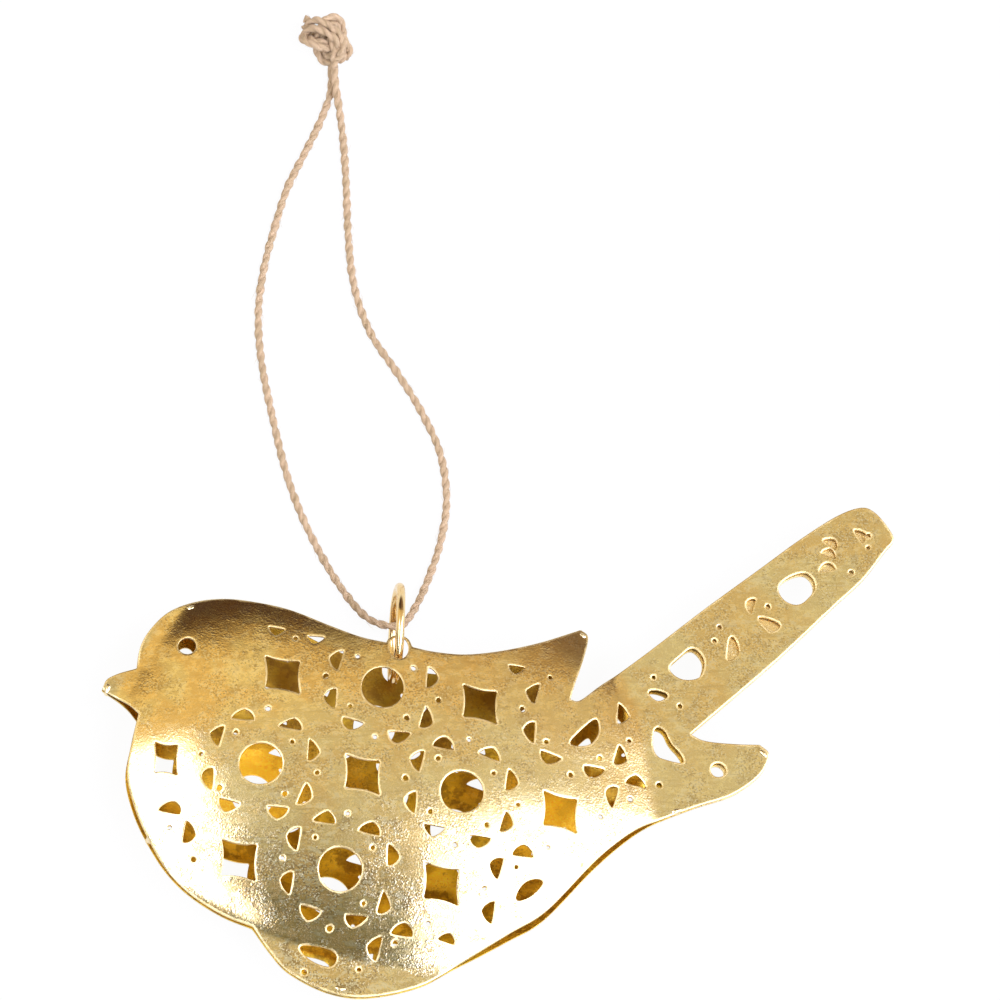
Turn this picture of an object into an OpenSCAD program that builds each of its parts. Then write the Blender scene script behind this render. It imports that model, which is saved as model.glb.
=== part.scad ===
// Hanging bird decoration: two pierced, domed sheet shells tacked together at
// their rims, a wire ring through both, and a twine loop through the ring.
// The bird lies on its back shell: +X runs from beak to tail, +Y from belly to
// back, +Z from the back shell to the front shell.

/* [Bird] */
// Length that the shares below are taken of: the bird is about this long
bird_l = 115; // [90:1:140]
// Height of each dome above the plane where the two rims meet
dome_h = 7.45; // [6.8:0.05:7.8]
// Thickness of the metal sheet
sheet_t = 0.5; // [0.3:0.05:0.7]
// Gap between the two sheets where they run flat, as in the tail
tail_gap = 0.3; // [0.2:0.05:0.6]
// Half length of the domed field on its belly side
dome_half_l = 40.2; // [38:0.1:42]
// Half width of the domed field on its belly side
dome_half_w = 26.6; // [25:0.1:28]
// Half length of the domed field on its back side
dome_back_l = 38.5; // [37:0.1:41]
// Half width of the domed field on its back side
dome_back_w = 35.5; // [33:0.1:37]

/* [Piercing] */
// Diameter of the large round holes
circle_d = 6.2; // [4.5:0.1:7]
// Side of the squares with hollow sides
square_w = 5.2; // [4:0.1:6]
// Length of a petal hole
petal_l = 3.1; // [2.4:0.1:3.3]
// Width of a petal hole
petal_w = 1.7; // [1:0.1:1.9]
// Diameter of the small dots
dot_d = 0.8; // [0.5:0.05:1]
// Diameter of the bird's eye
eye_d = 2.6; // [1.6:0.1:3.4]
// Diameter of the round hole in the lower tail lobe
lobe_hole_d = 2.2; // [1.4:0.1:3]

/* [Ring] */
// Mean radius of the hanging ring
ring_r = 6.85; // [6.5:0.05:7]
// Thickness of the ring's wire
wire_d = 1.3; // [1:0.05:1.4]
// Clearance of the wire in its holes, all round
wire_clearance = 0.5; // [0.4:0.05:0.7]
// How far the ring leans towards the tail, in degrees
ring_lean = 4; // [0:1:10]

/* [Solder] */
// Diameter of a solder bead
bead_d = 1.7; // [1.3:0.1:2.2]

/* [Loop] */
// Thickness of the twine
cord_d = 1.2; // [1:0.05:1.4]
// Width of the knot
knot_w = 8.2; // [7:0.1:10]

/* [Hidden] */
$fn = 48;

// The plane where the rims meet, and how far the flat sheets stand off it
mid_z = dome_h;
flat_h = tail_gap / 2 + sheet_t;
cut_over = 1;

// The dome's centre as shares of the bird's length, its turn and its fullness
dome_centre_shares = [-0.152, -0.043];
dome_turn = -13;
dome_power = 2.1;
dome_fullness = 0.8;
dome_edge_share = 0.05;
dome_side_share = 0.45;

// The outline as shares of the bird's length: one smooth stretch from corner
// to corner, clockwise from the tip of the beak
upper_beak_shares = [
    [-0.501, 0.080], [-0.495, 0.092], [-0.482, 0.099], [-0.469, 0.103],
    [-0.457, 0.106]
];
head_shares = [
    [-0.457, 0.106], [-0.451, 0.137], [-0.435, 0.162], [-0.412, 0.182],
    [-0.380, 0.193], [-0.344, 0.194], [-0.307, 0.187], [-0.264, 0.174],
    [-0.215, 0.151], [-0.177, 0.135], [-0.145, 0.127]
];
// The small ear that holds the ring's hole
ear_shares = [
    [-0.145, 0.127], [-0.141, 0.133], [-0.129, 0.138], [-0.117, 0.132],
    [-0.112, 0.121]
];
back_line_shares = [
    [-0.112, 0.121], [-0.085, 0.115], [-0.045, 0.112], [0.003, 0.119],
    [0.055, 0.134], [0.107, 0.156]
];
wing_back_shares = [
    [0.107, 0.156], [0.116, 0.146], [0.109, 0.117], [0.094, 0.076],
    [0.088, 0.057]
];
tail_shares = [
    [0.088, 0.057], [0.101, 0.057], [0.133, 0.083], [0.192, 0.127],
    [0.266, 0.184], [0.337, 0.236], [0.390, 0.275], [0.438, 0.306],
    [0.470, 0.318], [0.488, 0.312], [0.505, 0.291], [0.511, 0.275],
    [0.500, 0.261], [0.470, 0.223], [0.432, 0.188], [0.362, 0.122],
    [0.309, 0.076],
    [0.242, 0.019]
];
lobe_top_shares = [
    [0.242, 0.019], [0.261, 0.010], [0.298, 0.006], [0.330, 0.005]
];
belly_shares = [
    [0.330, 0.005], [0.341, -0.008], [0.329, -0.034], [0.293, -0.060],
    [0.248, -0.075], [0.208, -0.090], [0.167, -0.109], [0.117, -0.149],
    [0.051, -0.216], [0.003, -0.245], [-0.062, -0.282], [-0.113, -0.309],
    [-0.178, -0.322], [-0.227, -0.315], [-0.274, -0.290], [-0.298, -0.263],
    [-0.319, -0.231]
];
breast_shares = [
    [-0.319, -0.231], [-0.357, -0.215], [-0.397, -0.188], [-0.425, -0.158],
    [-0.447, -0.120], [-0.464, -0.079], [-0.473, -0.033], [-0.465, 0.011],
    [-0.457, 0.044]
];
lower_beak_shares = [
    [-0.457, 0.044], [-0.470, 0.058], [-0.495, 0.075], [-0.501, 0.080]
];
STRETCHES = [
    upper_beak_shares, head_shares, ear_shares, back_line_shares,
    wing_back_shares, tail_shares,
    lobe_top_shares, belly_shares, breast_shares, lower_beak_shares
];
outline_steps = 2;

// Where the piercings lie, as shares of the bird's length
circle_shares = [
    [-0.056, -0.071], [-0.152, 0.066], [-0.308, -0.032], [-0.211, -0.168]
];
// The circle that the breast's rim cuts off, which only its petals show
cut_off_circle_shares = [-0.470, -0.125];
square_shares = [
    [-0.277, 0.085], [-0.337, -0.152], [-0.181, -0.049], [-0.029, 0.045],
    [0.069, -0.093], [-0.084, -0.187]
];
breast_square_shares = [-0.425, -0.019];
// The breast's square next to the others, across and along
breast_square_scale = [0.65, 0.9];
// How far the squares' tops and sides turn, and how far their sides bow in
square_top_turn = -12;
square_side_turn = 2;
square_bow_share = 0.07;
petal_shares = [
    [-0.328, 0.034], [-0.363, 0.008], [-0.375, -0.049], [-0.350, -0.085],
    [-0.289, -0.096], [-0.252, -0.075], [-0.241, -0.016], [-0.269, 0.020],
    [-0.210, 0.105], [-0.219, 0.052], [-0.192, 0.016], [-0.133, -0.001],
    [-0.096, 0.025], [-0.088, 0.079], [-0.077, -0.007], [-0.113, -0.030],
    [-0.018, -0.019], [0.009, -0.055], [-0.122, -0.085], [0.001, -0.110],
    [-0.093, -0.122], [-0.035, -0.135], [-0.230, -0.102], [-0.270, -0.128],
    [-0.173, -0.117], [-0.144, -0.151], [-0.279, -0.182], [-0.250, -0.220],
    [-0.191, -0.231], [-0.154, -0.210], [-0.133, -0.241], [-0.169, -0.261],
    [-0.016, -0.166], [0.020, -0.144], [-0.026, -0.220], [0.038, 0.064],
    [0.032, 0.010], [0.058, -0.025], [0.157, 0.043], [0.152, -0.014],
    [0.115, -0.039], [0.135, -0.068], [0.170, -0.044], [-0.421, -0.081],
    [-0.397, -0.114]
];
petal_scale = 1;
small_petal_shares = [
    [-0.233, 0.131], [-0.283, 0.144], [-0.077, -0.251], [0.020, 0.093]
];
small_petal_scale = 0.78;
// How far a petal leaves the squares' sides to follow its circle
petal_follow_share = 0.2;
// The tail's small petals, which only the front shell has: their places as
// shares of the bird's length, and how far each turns
tail_petal_shares = [
    [0.431, 0.273], [0.428, 0.259], [0.424, 0.240], [0.470, 0.283],
    [0.324, 0.189]
];
tail_petal_turns = [-36, -15, 5, -60, 65];
tail_petal_scale = 0.75;
tail_leaf_shares = [
    [0.331, 0.174], [0.347, 0.172], [0.363, 0.164], [0.361, 0.159],
    [0.351, 0.153], [0.345, 0.156]
];
tail_wedge_shares = [
    [0.297, 0.148], [0.303, 0.147], [0.308, 0.133], [0.309, 0.125],
    [0.296, 0.115], [0.292, 0.118], [0.294, 0.135]
];
// The circles that the rim leaves out, towards which outer petals turn
outer_circle_shares = [
    [0.097, 0.030], [0.195, -0.110], [-0.112, -0.310], [0.043, -0.205],
    [-0.252, 0.190], [-0.003, 0.172]
];
dot_shares = [
    [-0.259, 0.134], [-0.182, 0.108], [-0.223, 0.082], [-0.194, 0.041],
    [-0.164, 0.000], [-0.123, 0.025], [-0.082, 0.049], [-0.112, 0.092],
    [-0.085, -0.028], [-0.045, -0.003], [-0.015, -0.046], [-0.127, -0.054],
    [-0.097, -0.097], [0.015, -0.086], [-0.026, -0.113], [-0.067, -0.139],
    [-0.201, -0.099], [-0.242, -0.128], [-0.170, -0.142], [-0.283, -0.152],
    [-0.224, -0.238], [-0.182, -0.210], [-0.142, -0.257], [-0.101, -0.235],
    [-0.187, -0.287], [0.011, -0.165], [-0.030, -0.192], [0.052, -0.139],
    [0.063, 0.085], [0.025, 0.040], [0.054, -0.002], [0.084, -0.044],
    [0.123, -0.019], [0.163, 0.008], [0.121, -0.096], [0.161, -0.070],
    [0.200, -0.048], [-0.268, -0.005], [-0.338, 0.010], [-0.297, 0.040],
    [-0.382, -0.016], [-0.238, -0.046], [-0.279, -0.072], [-0.360, -0.061],
    [-0.422, -0.107], [-0.393, -0.148], [-0.256, -0.290], [0.198, 0.094]
];
tail_dot_shares = [
    [0.479, 0.281], [0.478, 0.265], [0.277, 0.142], [0.347, 0.187],
    [0.284, 0.160], [0.230, 0.056], [0.455, 0.232]
];
eye_shares = [-0.394, 0.131];
lobe_hole_shares = [0.276, -0.028];
belly_slot_shares = [
    [-0.263, -0.253], [-0.212, -0.263], [-0.218, -0.285], [-0.240, -0.280],
    [-0.258, -0.267]
];
belly_moon_shares = [
    [0.009, -0.208], [0.012, -0.195], [0.023, -0.182], [0.038, -0.178],
    [0.047, -0.182], [0.039, -0.193], [0.025, -0.204]
];
wing_moon_shares = [
    [0.082, -0.002], [0.093, -0.006], [0.111, -0.003], [0.120, 0.008],
    [0.124, 0.018], [0.123, 0.031], [0.118, 0.034], [0.098, 0.015]
];
rump_slot_shares = [
    [0.195, 0.030], [0.210, 0.026], [0.216, 0.008], [0.230, -0.007],
    [0.234, -0.020], [0.217, -0.017], [0.193, -0.009]
];
tail_root_hole_shares = [
    [0.216, 0.107], [0.233, 0.122], [0.247, 0.134], [0.257, 0.129],
    [0.265, 0.115], [0.260, 0.097], [0.252, 0.091], [0.236, 0.090],
    [0.224, 0.096]
];
tail_hole_shares = [
    [0.359, 0.212], [0.366, 0.196], [0.379, 0.189], [0.390, 0.190],
    [0.400, 0.199], [0.410, 0.212], [0.406, 0.226], [0.395, 0.234],
    [0.373, 0.226]
];
tail_slot_shares = [
    [0.189, 0.076], [0.201, 0.078], [0.219, 0.071], [0.204, 0.061],
    [0.194, 0.067]
];
SLOTS = [belly_slot_shares, belly_moon_shares, wing_moon_shares];
TAIL_HOLES = [
    rump_slot_shares, tail_root_hole_shares, tail_hole_shares, tail_slot_shares
];

// How far the back shell's pattern lies off the front one's, as hand work does
back_slip_shares = [-0.0046, -0.0085];
// How far the back shell's pattern is turned
back_turn = -0.75;
// How much the back shell's pattern is drawn out, along and across the bird
back_stretch = [1, 1.02];
// How far its circles and squares lie off their places in that pattern
back_circle_off_shares = [
    [0.0035, -0.007], [0.0035, -0.013], [0.0035, -0.007], [0, -0.0017]
];
back_square_off_shares = [
    [-0.0035, -0.0061], [0.0035, 0.0052], [0.0017, 0.0045], [0, -0.0017],
    [0, -0.0035], [0, -0.0045]
];
// The dots that it lacks, by their number in their table
back_lost_dots = [4, 15, 31];
back_breast_off_shares = [0.0052, 0.0035];
// How far the back shell's eye and its tail's holes lie off the front ones
back_eye_slip_shares = [0.0017, -0.0022];
back_tail_slip_shares = [-0.0026, -0.0026];

// Where the ring's wire goes through both shells
ring_hole_shares = [-0.129, 0.120];
// Where the rims are tacked together
beak_tack_shares = [-0.497, 0.081];
crown_tack_shares = [-0.386, 0.187];
wing_tack_shares = [0.110, 0.150];
breast_tack_shares = [-0.448, -0.116];
belly_tack_shares = [-0.212, -0.314];
rump_tack_shares = [0.222, -0.084];
lobe_tack_shares = [0.336, -0.005];
bead_neck_share = 0.7;

// The twine's route in millimetres: out of the knot, down its left side,
// through the ring over its lower wire, and back up its right side
route = [
    [-21, 107.5, 0.9], [-21, 105.5, 0.8], [-21.3, 102.5, 0.7],
    [-23, 98, 0.7], [-25.5, 93, 0.7], [-28, 88, 0.7], [-30, 82, 0.7],
    [-31.8, 75.5, 0.7], [-32.8, 68.5, 0.7], [-32.5, 61, 0.7],
    [-31, 52, 0.7], [-29.3, 44, 0.7], [-27, 37, 0.7], [-24, 30.5, 0.7],
    [-21.3, 25.8, 0.9], [-18.8, 22.4, 1.5], [-16.8, 20.8, 2.3],
    [-14.4, 20.2, 2.6], [-12.6, 21, 2.2], [-11, 23.5, 1.4],
    [-9.2, 27.3, 0.8], [-7, 33.5, 0.7], [-5.9, 40, 0.7], [-6.6, 47, 0.7],
    [-9.2, 53.5, 0.7], [-12.6, 59.5, 0.7], [-16.3, 65.5, 0.7],
    [-18.5, 72.5, 0.7], [-19.2, 80, 0.7], [-19.3, 88, 0.7],
    [-19.5, 94.5, 0.7], [-20, 99.5, 1.2], [-20.5, 102.8, 1.9],
    [-20.7, 105.5, 2.3], [-20.7, 107.5, 2.4]
];
route_steps = 2;
cord_sides = 8;
knot_centre = [-21.8, 110.4];
// The knot's height next to its width, the depth and the slant of the grooves
// between its wraps, and how many wraps go round it
knot_height_share = 0.68;
knot_groove_share = 0.16;
knot_slant = 0.9;
knot_wraps = 3;
knot_rounds = 12;
knot_sides = 24;

brass = [0.80, 0.65, 0.31];
bright_brass = [0.90, 0.76, 0.42];
jute = [0.72, 0.61, 0.46];

// A smooth curve through points, without its last point
function smooth(p, steps) = [
    for (i = [0 : len(p) - 2])
        let (
            b = p[i],
            c = p[i + 1],
            a = i > 0 ? p[i - 1] : 2 * b - c,
            d = i < len(p) - 2 ? p[i + 2] : 2 * c - b
        )
        for (k = [0 : steps - 1])
            let (t = k / steps)
            b + t / 2 * (c - a)
                + t * t / 2 * (2 * a - 5 * b + 4 * c - d)
                + t * t * t / 2 * (3 * b - 3 * c + d - a)
];

OUTLINE = [
    for (s = STRETCHES)
        for (p = smooth(s, outline_steps))
            p * bird_l
];

// How far the outer face of the front shell stands off the rims' plane
function dome(p) =
    let (
        d = p - dome_centre_shares * bird_l,
        m = d[0] * cos(dome_turn) + d[1] * sin(dome_turn),
        n = d[1] * cos(dome_turn) - d[0] * sin(dome_turn),
        side = max(0, min(1, n / (dome_half_w * dome_side_share))),
        back = side * side * (3 - 2 * side),
        half_l = dome_half_l + back * (dome_back_l - dome_half_l),
        half_w = dome_half_w + back * (dome_back_w - dome_half_w),
        left = 1 - pow(abs(m / half_l), dome_power)
            - pow(abs(n / half_w), dome_power),
        kept = (left + sqrt(left * left + dome_edge_share * dome_edge_share)) / 2
    )
    flat_h + (dome_h - flat_h) * min(1, pow(kept, dome_fullness));

// Grid lines that are close over the dome and far apart over the tail
grid_l = 20;
grid_w = 15;
grid_margin_share = 0.06;
grid_x = concat(
    [-bird_l * (0.5 + grid_margin_share)],
    [
        for (i = [0 : grid_l])
            dome_centre_shares[0] * bird_l + dome_half_l * (2 * i / grid_l - 1)
    ],
    [bird_l * (0.5 + grid_margin_share)]
);
grid_y = concat(
    [-bird_l * (0.5 - 2 * grid_margin_share)],
    [
        for (i = [0 : grid_w])
            dome_centre_shares[1] * bird_l - dome_half_w - sheet_t
                + (dome_half_w + dome_back_w + 2 * sheet_t) * i / grid_w
    ],
    [bird_l * (0.5 - 2 * grid_margin_share)]
);

// The whole sheet before its outline is cut, as a closed skin of triangles
module domed_sheet() {
    nx = len(grid_x);
    ny = len(grid_y);
    top = [for (y = grid_y) for (x = grid_x) [x, y, dome([x, y])]];
    bottom = [for (p = top) p - [0, 0, sheet_t]];
    count = nx * ny;
    rim = concat(
        [for (i = [0 : nx - 2]) i],
        [for (j = [0 : ny - 2]) nx - 1 + j * nx],
        [for (i = [0 : nx - 2]) count - 1 - i],
        [for (j = [0 : ny - 2]) count - nx - j * nx]
    );
    cells = [for (j = [0 : ny - 2]) for (i = [0 : nx - 2]) i + j * nx];
    upper = [
        for (c = cells)
            for (f = [[c, c + nx, c + nx + 1], [c, c + nx + 1, c + 1]]) f
    ];
    lower = [for (f = upper) [f[0] + count, f[2] + count, f[1] + count]];
    walls = [
        for (k = [0 : len(rim) - 1])
            let (a = rim[k], b = rim[(k + 1) % len(rim)])
            for (f = [[a, b, b + count], [a, b + count, a + count]]) f
    ];
    polyhedron(points = concat(top, bottom), faces = concat(upper, lower, walls));
}

// A square hole whose four sides bow inwards
module hollow_square(scale_xy = [1, 1]) {
    across = [cos(square_top_turn), sin(square_top_turn)];
    along = [sin(square_side_turn), cos(square_side_turn)];
    corners = [[-0.5, -0.5], [0.5, -0.5], [0.5, 0.5], [-0.5, 0.5]];
    points = [
        for (i = [0 : 3])
            let (a = corners[i], b = corners[(i + 1) % 4])
            for (t = [0, 0.25, 0.5, 0.75])
                let (
                    inwards = -(a + b) * square_bow_share * 4 * t * (1 - t)
                )
                a + t * (b - a) + inwards
    ];
    polygon([
        for (p = points)
            square_w * (p[0] * scale_xy[0] * across + p[1] * scale_xy[1] * along)
    ]);
}

// The circle nearest to a petal, which its straight side faces
function nearest(p, places) =
    let (reach = [for (c = places) norm(c - p)])
    [for (i = [0 : len(places) - 1]) if (reach[i] == min(reach)) places[i]][0];

// A petal hole: straight on the side of its circle, arched and pointed outside
petal_skew_share = 0.06;
petal_point_share = 0.3;
petal_steps = 8;
module petal() {
    polygon([
        for (i = [0 : petal_steps])
            let (
                t = 180 * i / petal_steps,
                round_share = 1 - petal_point_share,
                rise = round_share * sin(t) + petal_point_share * (1 - abs(cos(t)))
            )
            [
                petal_l * (0.5 * cos(t) + petal_skew_share * sin(t)),
                petal_w * (rise - 0.5)
            ]
    ]);
}

// Petals whose straight sides run with the squares' sides, on their circle's
// side, turned a little towards the circle
module turned_petals(places, size) {
    all_circles = concat(circle_shares, outer_circle_shares, [cut_off_circle_shares]);
    for (p = places) {
        off = p - nearest(p, all_circles);
        away = atan2(off[1], off[0]);
        square = square_top_turn + 90 * round((away - square_top_turn) / 90);
        translate(p * bird_l)
            rotate(square + petal_follow_share * (away - square) - 90)
                scale(size)
                    petal();
    }
}

// The tail's shallow cuts, which the back shell lacks
module tail_piercings() {
    for (i = [0 : len(tail_petal_shares) - 1])
        translate(tail_petal_shares[i] * bird_l)
            rotate(tail_petal_turns[i])
                scale(tail_petal_scale)
                    petal();
    for (p = tail_dot_shares)
        translate(p * bird_l)
            circle(d = dot_d);
    polygon(tail_leaf_shares * bird_l);
    polygon(tail_wedge_shares * bird_l);
}

// The circles, squares, petals, dots and slots of the body
module body_pattern(circles, squares, breast_square, dots) {
    for (p = circles)
        translate(p * bird_l)
            circle(d = circle_d);
    for (p = squares)
        translate(p * bird_l)
            hollow_square();
    translate(breast_square * bird_l)
        hollow_square(breast_square_scale);
    turned_petals(petal_shares, petal_scale);
    turned_petals(small_petal_shares, small_petal_scale);
    for (p = dots)
        translate(p * bird_l)
            circle(d = dot_d);
    for (s = SLOTS)
        polygon(s * bird_l);
}

module eye_piercing() {
    translate(eye_shares * bird_l)
        circle(d = eye_d);
}

module tail_holes() {
    translate(lobe_hole_shares * bird_l)
        circle(d = lobe_hole_d);
    for (s = TAIL_HOLES)
        polygon(s * bird_l);
}

module front_piercings() {
    body_pattern(circle_shares, square_shares, breast_square_shares, dot_shares);
    eye_piercing();
    tail_holes();
}

module back_piercings() {
    translate(back_slip_shares * bird_l)
        rotate(back_turn)
            scale(back_stretch)
                body_pattern(
                    circle_shares + back_circle_off_shares,
                    square_shares + back_square_off_shares,
                    breast_square_shares + back_breast_off_shares,
                    [
                        for (i = [0 : len(dot_shares) - 1])
                            if (len(search(i, back_lost_dots)) == 0)
                                dot_shares[i]
                    ]
                );
    translate(back_eye_slip_shares * bird_l)
        eye_piercing();
    translate(back_tail_slip_shares * bird_l)
        tail_holes();
}

// The ring's holes: where the wire crosses the middle of the sheet
hole_at = ring_hole_shares * bird_l;
hole_h = dome(hole_at) - sheet_t / 2;
ring_reach = sqrt(ring_r * ring_r - hole_h * hole_h);
hole_tilt = atan2(hole_h, ring_reach);
hole_r = wire_d / 2 + wire_clearance;
hole_cut = 4 * sheet_t;

// One shell above the rims' plane, with its dome, outline and ring hole, less
// the piercings given to it
module shell_sheet() {
    difference() {
        intersection() {
            domed_sheet();
            linear_extrude(dome_h + cut_over)
                difference() {
                    polygon(OUTLINE);
                    children();
                }
        }
        translate([hole_at[0], hole_at[1], hole_h])
            rotate([0, 0, -ring_lean])
                rotate([-hole_tilt, 0, 0])
                    cylinder(r = hole_r, h = 2 * hole_cut, center = true);
    }
}

module front_shell() {
    color(brass)
        translate([0, 0, mid_z])
            difference() {
                shell_sheet()
                    front_piercings();
                linear_extrude(dome_h)
                    tail_piercings();
            }
}

module back_shell() {
    color(brass)
        translate([0, 0, mid_z])
            mirror([0, 0, 1])
                shell_sheet()
                    back_piercings();
}

module hanging_ring() {
    color(bright_brass)
        translate([hole_at[0], hole_at[1], mid_z])
            rotate([0, 0, -ring_lean])
                translate([0, ring_reach, 0])
                    rotate([0, 90, 0])
                        rotate_extrude()
                            translate([ring_r, 0])
                                circle(d = wire_d);
}

// A tack of solder: a blob on each rim and a neck between them
module solder_tack(shares) {
    at = shares * bird_l;
    rim_h = dome(at) - sheet_t / 2;
    color(bright_brass)
        translate([at[0], at[1], mid_z]) {
            for (side = [-1, 1])
                translate([0, 0, side * rim_h])
                    sphere(d = bead_d);
            cylinder(d = bead_d * bead_neck_share, h = 2 * rim_h, center = true);
        }
}

// A tube of flat rings, each square to the way between its neighbours
module tube(p, d, sides) {
    last = len(p) - 1;
    rings = [
        for (i = [0 : last])
            let (
                along = p[min(i + 1, last)] - p[max(i - 1, 0)],
                way = along / norm(along),
                flat = cross([0, 0, 1], way),
                across = flat / norm(flat),
                up = cross(way, across)
            )
            for (k = [0 : sides - 1])
                let (t = 360 * (k + 0.5) / sides)
                p[i] + d / 2 * (cos(t) * across + sin(t) * up)
    ];
    walls = [
        for (i = [0 : last - 1])
            for (k = [0 : sides - 1])
                let (
                    a = i * sides + k,
                    b = i * sides + (k + 1) % sides
                )
                for (f = [[a, a + sides, b + sides], [a, b + sides, b]]) f
    ];
    ends = [
        [for (k = [0 : sides - 1]) k],
        [for (k = [0 : sides - 1]) (last + 1) * sides - 1 - k]
    ];
    polyhedron(points = rings, faces = concat(walls, ends));
}

module cord_loop() {
    color(jute)
        tube(
            concat(smooth(route, route_steps), [route[len(route) - 1]]),
            cord_d,
            cord_sides
        );
}

// How far the knot's surface lies from its middle, as a share of its width:
// a ball with slanting grooves between the wraps
function knot_reach(height, turn) =
    let (wrap = abs(sin(knot_wraps * (turn + knot_slant * height) / 2)))
    0.5 * (1 - knot_groove_share * pow(1 - wrap, 2) * cos(height));

module loop_knot() {
    rings = [
        for (i = [1 : knot_rounds - 1])
            for (k = [0 : knot_sides - 1])
                let (
                    height = 180 * i / knot_rounds - 90,
                    turn = 360 * k / knot_sides,
                    reach = knot_w * knot_reach(height, turn)
                )
                [
                    reach * cos(height) * cos(turn),
                    reach * cos(height) * sin(turn),
                    reach * sin(height) * knot_height_share
                ]
    ];
    half_h = knot_w * knot_height_share / 2;
    last = (knot_rounds - 1) * knot_sides;
    sides = [
        for (i = [0 : knot_rounds - 3])
            for (k = [0 : knot_sides - 1])
                let (
                    a = i * knot_sides + k,
                    b = i * knot_sides + (k + 1) % knot_sides
                )
                for (
                    f = [
                        [a, a + knot_sides, b + knot_sides],
                        [a, b + knot_sides, b]
                    ]
                ) f
    ];
    caps = [
        for (k = [0 : knot_sides - 1])
            let (next = (k + 1) % knot_sides)
            for (
                f = [
                    [last, k, next],
                    [
                        last + 1,
                        last - knot_sides + next,
                        last - knot_sides + k
                    ]
                ]
            ) f
    ];
    color(jute)
        translate([knot_centre[0], knot_centre[1], half_h])
            polyhedron(
                points = concat(rings, [[0, 0, -half_h], [0, 0, half_h]]),
                faces = concat(sides, caps)
            );
}

front_shell();
back_shell();
hanging_ring();
solder_tack(beak_tack_shares);  // beak_solder
solder_tack(crown_tack_shares);  // crown_solder
solder_tack(wing_tack_shares);  // wing_solder
solder_tack(breast_tack_shares);  // breast_solder
solder_tack(belly_tack_shares);  // belly_solder
solder_tack(rump_tack_shares);  // rump_solder
solder_tack(lobe_tack_shares);  // lobe_solder
cord_loop();
loop_knot();
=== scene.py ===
"""Looks of the hanging bird decoration: two pierced brass shells, a wire ring and a jute loop."""

import math

import bpy
import numpy as np
from mathutils import Matrix, Vector, geometry, kdtree


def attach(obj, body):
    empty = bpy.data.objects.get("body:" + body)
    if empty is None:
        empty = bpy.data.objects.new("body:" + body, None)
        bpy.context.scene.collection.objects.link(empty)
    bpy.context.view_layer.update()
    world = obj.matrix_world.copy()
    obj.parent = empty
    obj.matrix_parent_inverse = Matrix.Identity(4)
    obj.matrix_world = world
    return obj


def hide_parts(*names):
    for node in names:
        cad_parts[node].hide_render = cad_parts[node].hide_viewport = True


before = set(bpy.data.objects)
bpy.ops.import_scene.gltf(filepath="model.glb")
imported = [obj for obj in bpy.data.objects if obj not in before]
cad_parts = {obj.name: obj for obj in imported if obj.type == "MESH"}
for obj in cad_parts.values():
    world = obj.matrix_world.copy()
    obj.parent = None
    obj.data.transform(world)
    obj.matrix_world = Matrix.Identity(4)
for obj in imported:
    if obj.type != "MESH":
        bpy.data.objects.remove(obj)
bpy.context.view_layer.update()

# Sizes, in millimetres, and turns, as in the part's source
MM = 0.001
BIRD_L = 115.0
DOME_H = 7.45
RIM_Z = DOME_H
SHEET_T = 0.5
FLAT_H = 0.65
DOME_CENTRE = np.array([-0.152, -0.043]) * BIRD_L
DOME_TURN = math.radians(-13)
DOME_HALF_L, DOME_HALF_W = 40.2, 26.6
DOME_BACK_L, DOME_BACK_W = 38.5, 35.5
DOME_SIDE = 0.45 * DOME_HALF_W
DOME_POWER, DOME_FULLNESS, DOME_EDGE = 2.1, 0.8, 0.05
CIRCLE_R, LOBE_HOLE_R = 3.1, 1.1
SQUARE_W, SQUARE_BOW = 5.2, 0.07
SQUARE_TURN, SQUARE_SIDE_TURN = -12, 2
BREAST_SQUARE_SCALE = (0.65, 0.9)
PETAL_L, PETAL_W = 3.1, 1.7
SMALL_PETAL_SCALE, TAIL_PETAL_SCALE = 0.78, 0.75
RING_R, WIRE_D, RING_LEAN = 6.85, 1.3, math.radians(4)
RING_HOLE = np.array([-0.129, 0.120]) * BIRD_L
BEAD_D = 1.7
TWINE_D = 1.2
KNOT_CENTRE = np.array([-21.8, 110.4])
KNOT_W = 8.2
KNOT_H = 0.68 * KNOT_W

# How the back shell's pattern lies off the front one's, the slips as shares of the bird's length
BACK_SLIP = np.array([-0.0046, -0.0085]) * BIRD_L
BACK_TURN, BACK_STRETCH = math.radians(-0.75), 1.02
BACK_CIRCLE_OFFS = [(0.0035, -0.007), (0.0035, -0.013), (0.0035, -0.007), (0, -0.0017)]
BACK_SQUARE_OFFS = [
    (-0.0035, -0.0061), (0.0035, 0.0052), (0.0017, 0.0045),
    (0, -0.0017), (0, -0.0035), (0, -0.0045),
]
BACK_LOST_DOTS = (4, 15, 31)
BACK_BREAST_OFF = (0.0052, 0.0035)
BACK_EYE_SLIP = np.array([0.0017, -0.0022]) * BIRD_L
BACK_TAIL_SLIP = np.array([-0.0026, -0.0026]) * BIRD_L

# Camera: nearly overhead, from the picture's bottom left, with a long lens
AZIMUTH, ELEVATION = math.radians(-20), math.radians(72)
SENSOR = 36
VIEW_WIDTH = 0.145
VIEW_DISTANCE = 2.0
PICTURE = 1000
ORIGIN_IN_PICTURE = (499.8, 750.3)


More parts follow.
